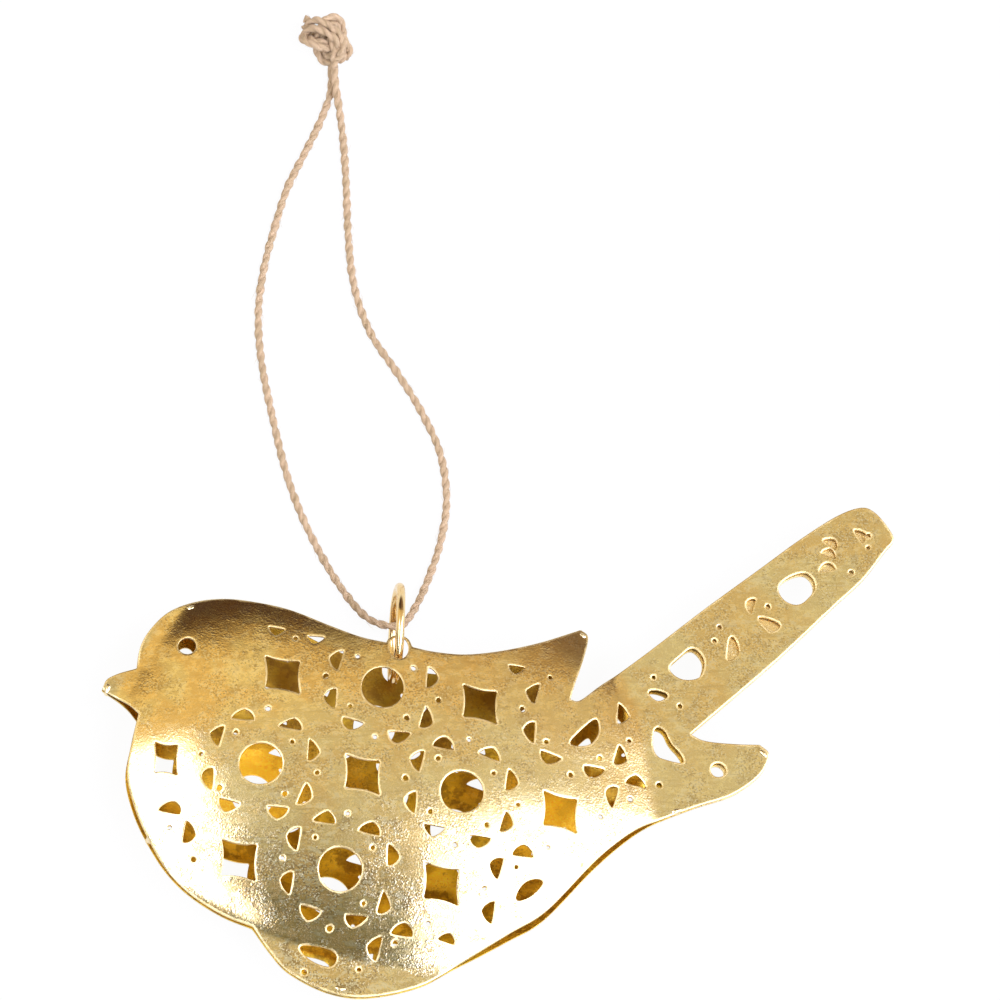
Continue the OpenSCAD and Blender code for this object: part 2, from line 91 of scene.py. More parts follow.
def make_camera():
    """Looks down from azimuth -20 and elevation 72 degrees, with +X level in the picture."""
    level = math.cos(ELEVATION)
    back = Vector((math.sin(AZIMUTH) * level, -math.cos(AZIMUTH) * level, math.sin(ELEVATION)))
    up = back.cross(Vector((1, 0, 0))).normalized()
    right = up.cross(back)
    step = VIEW_WIDTH / PICTURE
    across, above = PICTURE / 2 - ORIGIN_IN_PICTURE[0], ORIGIN_IN_PICTURE[1] - PICTURE / 2
    aim = Vector((0, 0, RIM_Z * MM))
    aim += right * across * step + up * above * step
    lens = bpy.data.cameras.new("camera")
    lens.sensor_width = SENSOR
    lens.lens = SENSOR * VIEW_DISTANCE / VIEW_WIDTH
    lens.clip_start, lens.clip_end = 0.1, 100
    camera = bpy.data.objects.new("camera", lens)
    turn = Matrix((right, up, back)).transposed().to_4x4()
    camera.matrix_world = Matrix.Translation(aim + back * VIEW_DISTANCE) @ turn
    bpy.context.scene.collection.objects.link(camera)
    bpy.context.scene.camera = camera


make_camera()


# Small helpers for meshes
def make_piece(name, points, faces, material):
    """A mesh object at the origin from points in millimetres and faces that point outwards."""
    mesh = bpy.data.meshes.new(name)
    mesh.from_pydata(np.asarray(points, float) * MM, [], faces)
    mesh.validate()
    mesh.polygons.foreach_set("use_smooth", np.full(len(mesh.polygons), True))
    mesh.materials.append(material)
    piece = bpy.data.objects.new(name, mesh)
    bpy.context.scene.collection.objects.link(piece)
    return piece


def keep_values(piece, name, values):
    """Stores one number at each vertex, for the material."""
    attribute = piece.data.attributes.new(name, "FLOAT", "POINT")
    attribute.data.foreach_set("value", np.asarray(values, np.float32))


def unit(rows):
    """Each row at length one."""
    return rows / np.linalg.norm(rows, axis=1)[:, None]


def round_angles(count):
    return np.linspace(0, 2 * math.pi, count, endpoint=False)


def grid_faces(rows, columns, closed_rows=False):
    """Quads between neighbours of a grid of points. Each row is a closed ring of columns points,
    and closed_rows joins the last row to the first."""
    last_row = rows if closed_rows else rows - 1
    i, j = np.meshgrid(np.arange(last_row), np.arange(columns), indexing="ij")
    i, j = i.ravel(), j.ravel()
    ni, nj = (i + 1) % rows, (j + 1) % columns
    return np.stack([i * columns + j, i * columns + nj, ni * columns + nj, ni * columns + j], 1)


def smooth_line(points, steps):
    """Points on a smooth curve through the given ones, without its last point.
    At its ends the curve is drawn as if the line went straight on."""
    p = np.asarray(points, float)
    p = np.vstack([2 * p[0] - p[1], p, 2 * p[-1] - p[-2]])
    t = (np.arange(steps) / steps)[None, :, None]
    a, b, c, d = (q[:, None, :] for q in (p[:-3], p[1:-2], p[2:-1], p[3:]))
    curve = (
        b
        + t / 2 * (c - a)
        + t * t / 2 * (2 * a - 5 * b + 4 * c - d)
        + t**3 / 2 * (3 * b - 3 * c + d - a)
    )
    return curve.reshape(-1, p.shape[1])


def reach_along(p):
    """How far along a line of straight pieces each of its points lies."""
    return np.concatenate([[0], np.cumsum(np.linalg.norm(np.diff(p, axis=0), axis=1))])


def even_line(points, spacing, closed=True):
    """Points at even steps of arc length along a line of straight pieces."""
    p = np.asarray(points, float)
    if closed:
        p = np.vstack([p, p[:1]])
    reach = reach_along(p)
    count = max(8, int(round(reach[-1] / spacing)))
    at = np.linspace(0, reach[-1], count, endpoint=not closed)
    return np.stack([np.interp(at, reach, p[:, k]) for k in range(p.shape[1])], 1)


def cut_corners(points, rounds):
    """Rounds a closed outline: each round puts points at a quarter and three quarters of each side."""
    p = np.asarray(points, float)
    for _ in range(rounds):
        q = np.roll(p, -1, axis=0)
        p = np.stack([0.75 * p + 0.25 * q, 0.25 * p + 0.75 * q], 1).reshape(-1, p.shape[1])
    return p


def turned(points, angle):
    """Points of a plane turned anticlockwise about its origin."""
    c, s = math.cos(angle), math.sin(angle)
    return points @ np.array([[c, s], [-s, c]])


def area_of(loop):
    """Signed area of a closed outline, positive where it runs anticlockwise."""
    x, y = loop[:, 0], loop[:, 1]
    return 0.5 * float(np.sum(x * np.roll(y, -1) - np.roll(x, -1) * y))


def is_inside(points, loop):
    """Which points lie inside a closed outline, by counting the edges to their right."""
    x, y = points[:, 0][:, None], points[:, 1][:, None]
    ax, ay = loop[:, 0][None], loop[:, 1][None]
    bx, by = np.roll(loop[:, 0], -1)[None], np.roll(loop[:, 1], -1)[None]
    spans = (ay > y) != (by > y)
    with np.errstate(divide="ignore", invalid="ignore"):
        meets = x < (bx - ax) * (y - ay) / (by - ay) + ax
    return (np.sum(spans & meets, axis=1) % 2) == 1


# Shader helpers
def new_tree(owner, kind):
    """The emptied node tree of a material or world, and a new output node."""
    owner.use_nodes = True
    tree = owner.node_tree
    tree.nodes.clear()
    return tree, tree.nodes.new(kind)


def fill(tree, n, values):
    """Sets a node's inputs, and links those whose value is another node's output."""
    for key, value in values.items():
        if isinstance(value, bpy.types.NodeSocket):
            tree.links.new(value, n.inputs[key])
        else:
            n.inputs[key].default_value = value


def put(tree, kind, values=None, **settings):
    """Adds a node, sets its settings, and fills its inputs."""
    n = tree.nodes.new("ShaderNode" + kind)
    for key, value in settings.items():
        setattr(n, key, value)
    fill(tree, n, values or {})
    return n


def noise(tree, place, scale, detail=3.0, roughness=0.55):
    values = {"Vector": place, "Scale": scale, "Detail": detail, "Roughness": roughness}
    return put(tree, "TexNoise", values).outputs["Fac"]


def ramp(tree, value, low, high, to_low=0.0, to_high=1.0):
    """Goes smoothly from one share to the other while the value goes from low to high."""
    values = {"Value": value, "From Min": low, "From Max": high, "To Min": to_low, "To Max": to_high}
    return put(tree, "MapRange", values, interpolation_type="SMOOTHSTEP").outputs["Result"]


def maths(tree, operation, a, b=0.0):
    return put(tree, "Math", {0: a, 1: b}, operation=operation).outputs[0]


def times(tree, a, b):
    return maths(tree, "MULTIPLY", a, b)


def plus(tree, a, b):
    return maths(tree, "ADD", a, b)


def larger(tree, a, b):
    return maths(tree, "MAXIMUM", a, b)


def blend(tree, share, a, b):
    return put(tree, "Mix", {0: share, 6: a, 7: b}, data_type="RGBA").outputs[2]


def stretched(tree, place, scale, turn=0.0):
    values = {"Vector": place, "Scale": scale, "Rotation": (0, 0, turn)}
    return put(tree, "Mapping", values).outputs["Vector"]


def vertex_value(tree, name):
    return put(tree, "Attribute", attribute_name=name).outputs["Fac"]


def bump(tree, height, strength, distance):
    values = {"Strength": strength, "Distance": distance, "Height": height}
    return put(tree, "Bump", values).outputs[0]


# Aged gold, which all the metal finishes use
METAL_TONES = ("Light Tone", "Warm Tone", "Dark Tone", "Fleck Tone")


def aged_gold_group():
    """Thin gold plating that has aged: warm clouds, crisp-edged blotches,
    and fine dark and bright grain in patches."""
    g = bpy.data.node_groups.new("aged_gold", "ShaderNodeTree")
    sockets = [("INPUT", "Place", "Vector")]
    sockets += [("INPUT", name, "Color") for name in METAL_TONES]
    sockets += [("INPUT", name, "Float") for name in ("Warmth", "Wear", "Roughness")]
    sockets += [("OUTPUT", "Color", "Color")]
    sockets += [("OUTPUT", name, "Float") for name in ("Roughness", "Height")]
    for way, name, kind in sockets:
        g.interface.new_socket(name, in_out=way, socket_type="NodeSocket" + kind)
    given = g.nodes.new("NodeGroupInput").outputs
    out = g.nodes.new("NodeGroupOutput")

    def both(a, b):
        return times(g, a, b)

    place = given["Place"]
    wear = given["Wear"]
    clouds = noise(g, place, 110, 4, 0.6)
    patches = noise(g, place, 230, 4, 0.65)
    smudges = noise(g, place, 520, 4, 0.6)
    blots = noise(g, stretched(g, place, (620, 900, 700), 0.2), 1.0, 5, 0.65)
    streaks = noise(g, stretched(g, place, (180, 1500, 700), 0.12), 1.0, 6, 0.7)
    salt = noise(g, place, 3700, 1, 0.5)
    pepper = noise(g, stretched(g, place, (3000, 3600, 2800), 0.9), 1.0, 1, 0.5)
    worn = both(wear, ramp(g, patches, 0.46, 0.54, 0.35, 1.0))
    warm = both(ramp(g, clouds, 0.36, 0.60), both(given["Warmth"], 2.0))
    warm = put(g, "Clamp", {0: warm}).outputs[0]
    olive = both(ramp(g, blots, 0.50, 0.525), wear)
    pale = both(ramp(g, blots, 0.44, 0.41), wear)
    lines = both(ramp(g, streaks, 0.54, 0.60), wear)
    soot = both(ramp(g, smudges, 0.52, 0.62), worn)
    pits = both(ramp(g, pepper, 0.49, 0.38), worn)
    flecks = both(ramp(g, salt, 0.52, 0.64), worn)
    dark = larger(g, both(olive, 0.36), both(lines, 0.50))
    dark = larger(g, dark, both(soot, 0.75))
    dark = larger(g, dark, pits)
    light = larger(g, both(pale, 0.55), both(flecks, 0.95))
    colour = blend(g, warm, given["Light Tone"], given["Warm Tone"])
    colour = blend(g, dark, colour, given["Dark Tone"])
    colour = blend(g, light, colour, given["Fleck Tone"])
    rough = plus(g, plus(g, given["Roughness"], both(olive, 0.05)), both(pits, 0.06))
    height = plus(g, both(salt, plus(g, both(worn, 1.3), 0.4)), both(blots, 0.7))
    height = plus(g, height, both(clouds, 2.5))
    fill(g, out, {"Color": colour, "Roughness": rough, "Height": height})
    return g


AGED_GOLD = aged_gold_group()


def aged_gold(tree, place, tones, warmth, wear, roughness):
    """The aged gold group with its light, warm, dark and fleck tones. Gives its outputs."""
    values = {"Place": place, "Warmth": warmth, "Wear": wear, "Roughness": roughness}
    values.update(zip(METAL_TONES, tones))
    return put(tree, "Group", values, node_tree=AGED_GOLD).outputs


def new_material(name):
    """A material with nodes, its Principled shader, and its object coordinates."""
    material = bpy.data.materials.new(name)
    tree, out = new_tree(material, "ShaderNodeOutputMaterial")
    shader = put(tree, "BsdfPrincipled")
    tree.links.new(shader.outputs[0], out.inputs[0])
    place = put(tree, "TexCoord").outputs["Object"]
    return material, tree, shader, place


# Where light falls into the bird: places in metres, and how far the light reaches round them
GLOWS = [
    ((-0.0354, -0.0037, 0.0007), 0.0085),
    ((0.0079, -0.0107, 0.0007), 0.0075),
]
# Tones of the shells, the first two lists each light, warm, dark and fleck
OUTSIDE_TONES = [
    (0.96, 0.79, 0.40, 1), (0.95, 0.68, 0.28, 1), (0.34, 0.24, 0.11, 1), (1.0, 0.92, 0.68, 1),
]
# The inside's deeper, more saturated amber is a painted reflection of light bounced between the shells.
INSIDE_TONES = [
    (0.97, 0.68, 0.05, 1), (0.84, 0.50, 0.05, 1), (0.30, 0.17, 0.04, 1), (1.0, 0.76, 0.14, 1),
]
PALE_EDGE = (0.99, 0.80, 0.42, 1)
# Painted shade where the inside is unlit, and the colour of its painted glow.
UNLIT_INSIDE = (0.26, 0.12, 0.02, 1)
LIGHT_WITHIN = (1.0, 0.53, 0.03, 1)
BLACK = (0, 0, 0, 1)


def shell_brass_finish():
    """Outside: aged gold with pale punched edges. Inside: deeper amber brass, as painted reflection of
    light bounced between the shells, with painted shade where unlit and a painted glow where light
    falls in, but in the tail much as outside. The walls of the holes go from one to the other."""
    material, tree, shader, place = new_material("shell_brass")
    parts = put(tree, "SeparateXYZ", {0: place})
    x, y = parts.outputs[0], parts.outputs[1]
    # Warmer, browner gold towards the head, as patina, and towards the back edge, as painted shade
    # standing in for the dark reflection along that edge.
    to_head = ramp(tree, x, 0.012, -0.045, 0.0, 0.45)
    back_edge_shade = ramp(tree, y, -0.012, 0.014, 0.15, 0.55)
    wear = ramp(tree, y, -0.004, -0.018, 0.62, 1.05)
    outside = aged_gold(tree, place, OUTSIDE_TONES, plus(tree, to_head, back_edge_shade), wear, 0.12)
    within = aged_gold(tree, place, INSIDE_TONES, 0.35, 0.6, 0.3)
    rim = vertex_value(tree, "rim_distance")
    inside = vertex_value(tree, "inside")
    ragged = times(tree, noise(tree, place, 1800, 3), 0.3)
    edge = ramp(tree, plus(tree, rim, ragged), 0.50, 0.34)
    uneven = ramp(tree, noise(tree, place, 420, 2), 0.35, 0.62, 0.35, 1.0)
    edge = times(tree, edge, uneven)
    # Painted light inside: a patchy glow round each place where light falls in and towards the belly,
    # with painted shade where it is unlit.
    lit = 0.0
    for spot, reach in GLOWS:
        off = put(tree, "VectorMath", {0: place, 1: spot}, operation="DISTANCE")
        lit = plus(tree, lit, ramp(tree, off.outputs["Value"], reach, reach * 0.6))
    glow_mottle = ramp(tree, noise(tree, place, 330, 5, 0.7), 0.42, 0.50, 0.45, 1.0)
    glow = larger(tree, ramp(tree, y, 0.010, -0.004, 0.40, 1.0), lit)
    glow = times(tree, glow, glow_mottle)
    deep = blend(tree, glow, UNLIT_INSIDE, within["Color"])
    tail = ramp(tree, x, 0.022, 0.036, 0.0, 0.8)
    hidden = blend(tree, tail, deep, outside["Color"])
    colour = blend(tree, edge, outside["Color"], PALE_EDGE)
    colour = blend(tree, inside, colour, hidden)
    rough = plus(tree, outside["Roughness"], times(tree, edge, 0.24))
    values = {0: inside, 2: rough, 3: within["Roughness"]}
    rough = put(tree, "Mix", values, data_type="FLOAT").outputs[0]
    # More painted glow inside towards the belly, less near the edges.
    low = ramp(tree, y, 0.004, -0.018, 0.14, 0.5)
    low = times(tree, low, times(tree, glow, ramp(tree, rim, 0.8, 2.4)))
    lit = times(tree, inside, larger(tree, lit, low))
    values = {
        "Base Color": colour,
        "Metallic": 1.0,
        "Roughness": rough,
        "Normal": bump(tree, outside["Height"], 0.22, 0.00005),
        "Emission Color": blend(tree, lit, BLACK, LIGHT_WITHIN),
        "Emission Strength": 0.45,
    }
    fill(tree, shader, values)
    return material


def bright_brass_finish(name, light, warm, roughness, wear, bump_distance):
    """Bright wire or solder: the aged gold group with less wear."""
    material, tree, shader, place = new_material(name)
    tones = [light, warm, (0.50, 0.34, 0.14, 1), (1.0, 0.90, 0.64, 1)]
    gold = aged_gold(tree, place, tones, 0.35, wear, roughness)
    values = {
        "Base Color": gold["Color"],
        "Metallic": 1.0,
        "Roughness": gold["Roughness"],
        "Normal": bump(tree, gold["Height"], 0.6, bump_distance),
    }
    fill(tree, shader, values)
    return material


BEIGE, TAN = (0.60, 0.425, 0.26, 1), (0.52, 0.375, 0.215, 1)
STRAW = (0.66, 0.49, 0.31, 1)
FIBRE_SHADE, GROOVE_SHADE = (0.30, 0.20, 0.105, 1), (0.26, 0.17, 0.09, 1)


def jute_finish():
    """Jute twine: beige fibre with tan stretches, straw tufts and fine dark lines along its strands."""
    material, tree, shader, place = new_material("jute_twine")
    strand = put(tree, "UVMap", uv_map="strand").outputs["UV"]
    fibres = noise(tree, stretched(tree, strand, (0.9, 14, 1)), 1.0, 4, 0.65)
    stretches = noise(tree, stretched(tree, strand, (0.28, 0.8, 1)), 1.0, 3, 0.5)
    tufts = noise(tree, place, 900, 3, 0.6)
    groove = vertex_value(tree, "groove")
    colour = blend(tree, ramp(tree, stretches, 0.4, 0.62), BEIGE, TAN)
    colour = blend(tree, ramp(tree, tufts, 0.45, 0.7, 0, 0.55), colour, STRAW)
    colour = blend(tree, ramp(tree, fibres, 0.48, 0.66, 0, 0.75), colour, FIBRE_SHADE)
    colour = blend(tree, times(tree, groove, 0.3), colour, GROOVE_SHADE)
    values = {
        "Base Color": colour,
        "Roughness": 0.85,
        "Normal": bump(tree, plus(tree, fibres, times(tree, tufts, 0.6)), 0.8, 0.00012),
        "Sheen Weight": 0.1,
        "Sheen Roughness": 0.5,
    }
    fill(tree, shader, values)
    return material


SHELL_BRASS = shell_brass_finish()
RING_BRASS = bright_brass_finish(
    "ring_brass", (0.96, 0.76, 0.40, 1), (0.86, 0.58, 0.26, 1), 0.16, 0.25, 0.00003
)
SOLDER = bright_brass_finish(
    "solder", (1.0, 0.86, 0.55, 1), (0.94, 0.72, 0.38, 1), 0.22, 0.2, 0.00006
)
JUTE = jute_finish()


# Twine: the loop first, because its route decides where everything lies
ROUTE = [
    (-21, 107.5, 0.9), (-21, 105.5, 0.8), (-21.3, 102.5, 0.7), (-23, 98, 0.7),
    (-25.5, 93, 0.7), (-28, 88, 0.7), (-30, 82, 0.7), (-31.8, 75.5, 0.7),
    (-32.8, 68.5, 0.7), (-32.5, 61, 0.7), (-31, 52, 0.7), (-29.3, 44, 0.7),
    (-27, 37, 0.7), (-24, 30.5, 0.7), (-21.3, 25.8, 0.9), (-18.8, 22.4, 1.5),
    (-16.8, 20.8, 2.3), (-14.4, 20.2, 2.6), (-12.6, 21, 2.2), (-11, 23.5, 1.4),
    (-9.2, 27.3, 0.8), (-7, 33.5, 0.7), (-5.9, 40, 0.7), (-6.6, 47, 0.7),
    (-9.2, 53.5, 0.7), (-12.6, 59.5, 0.7), (-16.3, 65.5, 0.7), (-18.5, 72.5, 0.7),
    (-19.2, 80, 0.7), (-19.3, 88, 0.7), (-19.5, 94.5, 0.7), (-20, 99.5, 1.2),
    (-20.5, 102.8, 1.9), (-20.7, 105.5, 2.3), (-20.7, 107.5, 2.4),
]
# The plies' radius and distance from the path are shares of the strand's diameter
PLY_PITCH, PLY_SIDES = 3.4, 20
PLY_R, PLY_OFF = 0.35, 0.15
FIBRE_STEPS, FIBRE_SIDES, FIBRE_R = 6, 3, 0.028
LOWEST_TWINE, LOWEST_FIBRE = 0.02, 0.05


def carried_frames(path):
    """At each point of a path: the way along it, and two directions square to that way,
    which turn about the path as little as they can."""
    way = unit(np.gradient(path, axis=0))
    across = np.zeros_like(way)
    first = np.cross((0, 0, 1), way[0])
    across[0] = first / np.linalg.norm(first)
    for i in range(1, len(path)):
        kept = across[i - 1] - way[i] * (across[i - 1] @ way[i])
        across[i] = kept / np.linalg.norm(kept)
    return way, across, np.cross(way, across)


def twisted_strand(path, diameter, phase=0.0):
    """A two-ply strand: the union of two round plies that turn about the path once a pitch.
    The reach at an angle is o*|cos| + sqrt(r*r - (o*sin)^2), for plies of radius r set o off the path,
    and it swells and thins a little along the strand.
    Gives its points, faces, strand coordinates and how deep each point lies in a groove."""
    count, sides = len(path), PLY_SIDES
    reach = reach_along(path)
    _, across, up = carried_frames(path)
    angle = round_angles(sides)[None]
    turn = angle + (2 * math.pi * reach / PLY_PITCH + phase)[:, None]
    ply_r, off = PLY_R * diameter, PLY_OFF * diameter
    size = off * np.abs(np.cos(angle)) + np.sqrt(ply_r**2 - (off * np.sin(angle)) ** 2)
    swell = 1 + 0.06 * np.sin(reach * 1.9 + phase) + 0.04 * np.sin(reach * 0.73 + 2 * phase)
    size = size * swell[:, None]
    points = (
        path[:, None]
        + (size * np.cos(turn))[..., None] * across[:, None]
        + (size * np.sin(turn))[..., None] * up[:, None]
    )
    depth = np.repeat((1 - np.abs(np.cos(angle))) ** 2, count, axis=0)
    along = np.repeat(reach[:, None], sides, axis=1)
    around = np.repeat(angle * diameter / 2, count, axis=0)
    points = np.vstack([points.reshape(-1, 3), path[:1], path[-1:]])
    faces = list(grid_faces(count, sides))
    first, last = count * sides, count * sides + 1
    base = (count - 1) * sides
    for k in range(sides):
        n = (k + 1) % sides
        faces.append((first, n, k))
        faces.append((last, base + k, base + n))
    strand = np.stack([along.ravel(), around.ravel()], 1)
    strand = np.vstack([strand, strand[:1], strand[-1:]])
    depth = np.concatenate([depth.ravel(), [0, 0]])
    return points, faces, strand, depth


def loose_fibres(path, radius, count, draw, longest):
    """Fine fibres that spring from a strand: thin three-sided curved hairs.
    Each leaves the surface, leans along the strand and curls back: p = start + s*lean + s*s*curl."""
    way, across, up = carried_frames(path)
    at = draw.integers(4, len(path) - 4, count)
    turn = draw.uniform(0, 2 * math.pi, count)
    out = np.cos(turn)[:, None] * across[at] + np.sin(turn)[:, None] * up[at]
    sign = draw.choice([-1.0, 1.0], count)[:, None]
    length = draw.uniform(0.35, 1.0, count)[:, None] * longest
    start = path[at] + out * radius * 0.8
    lean = way[at] * sign * draw.uniform(0.6, 1.0, (count, 1))
    lean = (lean + out * draw.uniform(0.12, 0.5, (count, 1))) * length
    curl = draw.normal(0, 0.16, (count, 3)) * length - out * 0.18 * length
    share = np.linspace(0, 1, FIBRE_STEPS)
    s = share[None, :, None]
    line = start[:, None] + s * lean[:, None] + s * s * curl[:, None]
    line[..., 2] = np.maximum(line[..., 2], LOWEST_FIBRE)
    side = np.cross(lean, out)
    side /= np.linalg.norm(side, axis=1)[:, None] + 1e-9
    rise = np.cross(lean / (np.linalg.norm(lean, axis=1)[:, None] + 1e-9), side)
    thick = FIBRE_R * (1 - 0.75 * share)
    corner = round_angles(FIBRE_SIDES)[None, None, :, None]
    ring = np.cos(corner) * side[:, None, None] + np.sin(corner) * rise[:, None, None]
    points = (line[:, :, None] + ring * thick[None, :, None, None]).reshape(-1, 3)
    each = FIBRE_STEPS * FIBRE_SIDES
    starts = (np.arange(count) * each)[:, None, None]
    walls = (grid_faces(FIBRE_STEPS, FIBRE_SIDES)[None] + starts).reshape(-1, 4)
    caps = (np.array([[2, 1, 0], [each - 3, each - 2, each - 1]])[None] + starts).reshape(-1, 3)
    strand = np.zeros((len(points), 2))
    strand[:, 0] = np.repeat(draw.uniform(0, 60, count), each)
    return points, [*walls, *caps], strand, np.zeros(len(points))


def join_parts(parts):
    """Several lots of points, faces, strand coordinates and groove depths as one."""
    points, faces, strands, depths, start = [], [], [], [], 0
    for p, f, s, d in parts:
        points.append(p)
        faces += [tuple(int(v) + start for v in face) for face in f]
        strands.append(s)
        depths.append(d)
        start += len(p)
    return np.vstack(points), faces, np.vstack(strands), np.concatenate(depths)


def make_twine(name, parts):
    """A twine piece with its strand coordinates as a UV map and its grooves as an attribute."""
    points, faces, strand, depth = join_parts(parts)
    points[:, 2] = np.maximum(points[:, 2], LOWEST_TWINE)
    piece = make_piece(name, points, faces, JUTE)
    corners = np.zeros(len(piece.data.loops), np.int32)
    piece.data.loops.foreach_get("vertex_index", corners)
    layer = piece.data.uv_layers.new(name="strand")
    layer.data.foreach_set("uv", strand[corners].astype(np.float32).ravel())
    keep_values(piece, "groove", depth)
    return piece


def even_path(points, spacing):
    """A smooth path through the points, with a point every few tenths of a millimetre."""
    dense = np.vstack([smooth_line(points, 12), np.asarray(points, float)[-1:]])
    return even_line(dense, spacing, closed=False)


loop_path = even_path(ROUTE, 0.22)
fibre_draw = np.random.default_rng(11)
twine_loop = make_twine(
    "twine_loop",
    [twisted_strand(loop_path, TWINE_D), loose_fibres(loop_path, TWINE_D / 2, 420, fibre_draw, 1.6)],
)

KNOT_STRAND_D, KNOT_STRAND_OFF = 1.22, 0.5

# Short strands of the knot: the loop's two ends going in, two wraps over the top, and a cut end
KNOT_ENDS = [
    [(-21.0, 106.2, 0.9), (-21.0, 107.5, 1.2), (-21.3, 109.2, 2.2), (-21.8, 110.6, 3.0)],
    [(-20.7, 106.2, 2.35), (-20.7, 107.5, 2.9), (-20.9, 109, 3.6), (-21.4, 110.4, 3.6)],
]
KNOT_WRAPS = [
    [(-25.0, 112.2, 2.6), (-23.6, 112.9, 4.3), (-21.6, 111.9, 4.75),
     (-19.6, 110.2, 4.4), (-18.5, 108.6, 3.0), (-19.0, 107.9, 1.6)],
    [(-25.3, 111.0, 2.8), (-24.2, 111.6, 4.2), (-22.2, 110.9, 4.7),
     (-20.4, 109.5, 4.4), (-19.4, 108.0, 3.0), (-19.8, 107.4, 1.8)],
]
KNOT_CUT_END = [(-23.6, 112.6, 3.0), (-24.4, 113.2, 3.2), (-25.0, 113.5, 3.1)]


def knot_strands():
    """The knot: two strands side by side along a three-lobed knot,
    p = (sin t + 2 sin 2t, cos t - 2 cos 2t, -1.45 sin 3t), and the short strands on it."""
    parts = []
    middle = np.array([KNOT_CENTRE[0], KNOT_CENTRE[1], KNOT_H / 2])
    t = np.linspace(0, 2 * math.pi, 180)
    centre_line = np.stack(
        [np.sin(t) + 2 * np.sin(2 * t), np.cos(t) - 2 * np.cos(2 * t), -1.45 * np.sin(3 * t)], 1
    )
    centre_line[:, :2] = turned(centre_line[:, :2] * (1.02, 0.98), math.radians(25))
    centre_line += middle
    way = unit(np.gradient(centre_line, axis=0))
    outward = centre_line - middle
    outward = unit(outward - way * np.sum(outward * way, axis=1)[:, None])
    for side in (-1, 1):
        strand = centre_line + outward * side * KNOT_STRAND_OFF
        parts.append(twisted_strand(strand, KNOT_STRAND_D, side * 1.2))
        parts.append(loose_fibres(strand, 0.6, 90, fibre_draw, 1.3))
    short = [even_path(points, 0.25) for points in KNOT_ENDS + KNOT_WRAPS]
    short.append(even_path(KNOT_CUT_END, 0.2))
    for number, path in enumerate(short):
        parts.append(twisted_strand(path, TWINE_D, 0.7 * number))
    parts.append(loose_fibres(short[2], 0.6, 40, fibre_draw, 1.4))
    parts.append(loose_fibres(short[4], 0.5, 30, fibre_draw, 1.0))
    return parts


twine_knot = make_twine("twine_knot", knot_strands())
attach(twine_knot, "loop")
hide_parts("loop_knot")
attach(twine_loop, "loop")
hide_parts("cord_loop")


# The shells' outline and piercings, as shares of the bird's length
STRETCHES = [
    [(-0.501, 0.080), (-0.495, 0.092), (-0.482, 0.099), (-0.469, 0.103), (-0.457, 0.106)],
    [(-0.457, 0.106), (-0.451, 0.137), (-0.435, 0.162), (-0.412, 0.182), (-0.380, 0.193),
     (-0.344, 0.194), (-0.307, 0.187), (-0.264, 0.174), (-0.215, 0.151), (-0.177, 0.135),
     (-0.145, 0.127)],
    [(-0.145, 0.127), (-0.141, 0.133), (-0.129, 0.138), (-0.117, 0.132), (-0.112, 0.121)],
    [(-0.112, 0.121), (-0.085, 0.115), (-0.045, 0.112), (0.003, 0.119), (0.055, 0.134),
     (0.107, 0.156)],
    [(0.107, 0.156), (0.116, 0.146), (0.109, 0.117), (0.094, 0.076), (0.088, 0.057)],
    [(0.088, 0.057), (0.101, 0.057), (0.133, 0.083), (0.192, 0.127), (0.266, 0.184),
     (0.337, 0.236), (0.390, 0.275), (0.438, 0.306), (0.470, 0.318), (0.488, 0.312),
     (0.505, 0.291), (0.511, 0.275), (0.500, 0.261), (0.470, 0.223), (0.432, 0.188),
     (0.362, 0.122), (0.309, 0.076), (0.242, 0.019)],
    [(0.242, 0.019), (0.261, 0.010), (0.298, 0.006), (0.330, 0.005)],
    [(0.330, 0.005), (0.341, -0.008), (0.329, -0.034), (0.293, -0.060), (0.248, -0.075),
     (0.208, -0.090), (0.167, -0.109), (0.117, -0.149), (0.051, -0.216), (0.003, -0.245),
     (-0.062, -0.282), (-0.113, -0.309), (-0.178, -0.322), (-0.227, -0.315),
     (-0.274, -0.290), (-0.298, -0.263), (-0.319, -0.231)],
    [(-0.319, -0.231), (-0.357, -0.215), (-0.397, -0.188), (-0.425, -0.158),
     (-0.447, -0.120), (-0.464, -0.079), (-0.473, -0.033), (-0.465, 0.011), (-0.457, 0.044)],
    [(-0.457, 0.044), (-0.470, 0.058), (-0.495, 0.075), (-0.501, 0.080)],
]
CIRCLES = [(-0.056, -0.071), (-0.152, 0.066), (-0.308, -0.032), (-0.211, -0.168)]
CUT_OFF_CIRCLE = [(-0.470, -0.125)]
OUTER_CIRCLES = [
    (0.097, 0.030), (0.195, -0.110), (-0.112, -0.310), (0.043, -0.205), (-0.252, 0.190),
    (-0.003, 0.172),
]
SQUARES = [
    (-0.277, 0.085), (-0.337, -0.152), (-0.181, -0.049), (-0.029, 0.045), (0.069, -0.093),
    (-0.084, -0.187),
]
BREAST_SQUARE = (-0.425, -0.019)
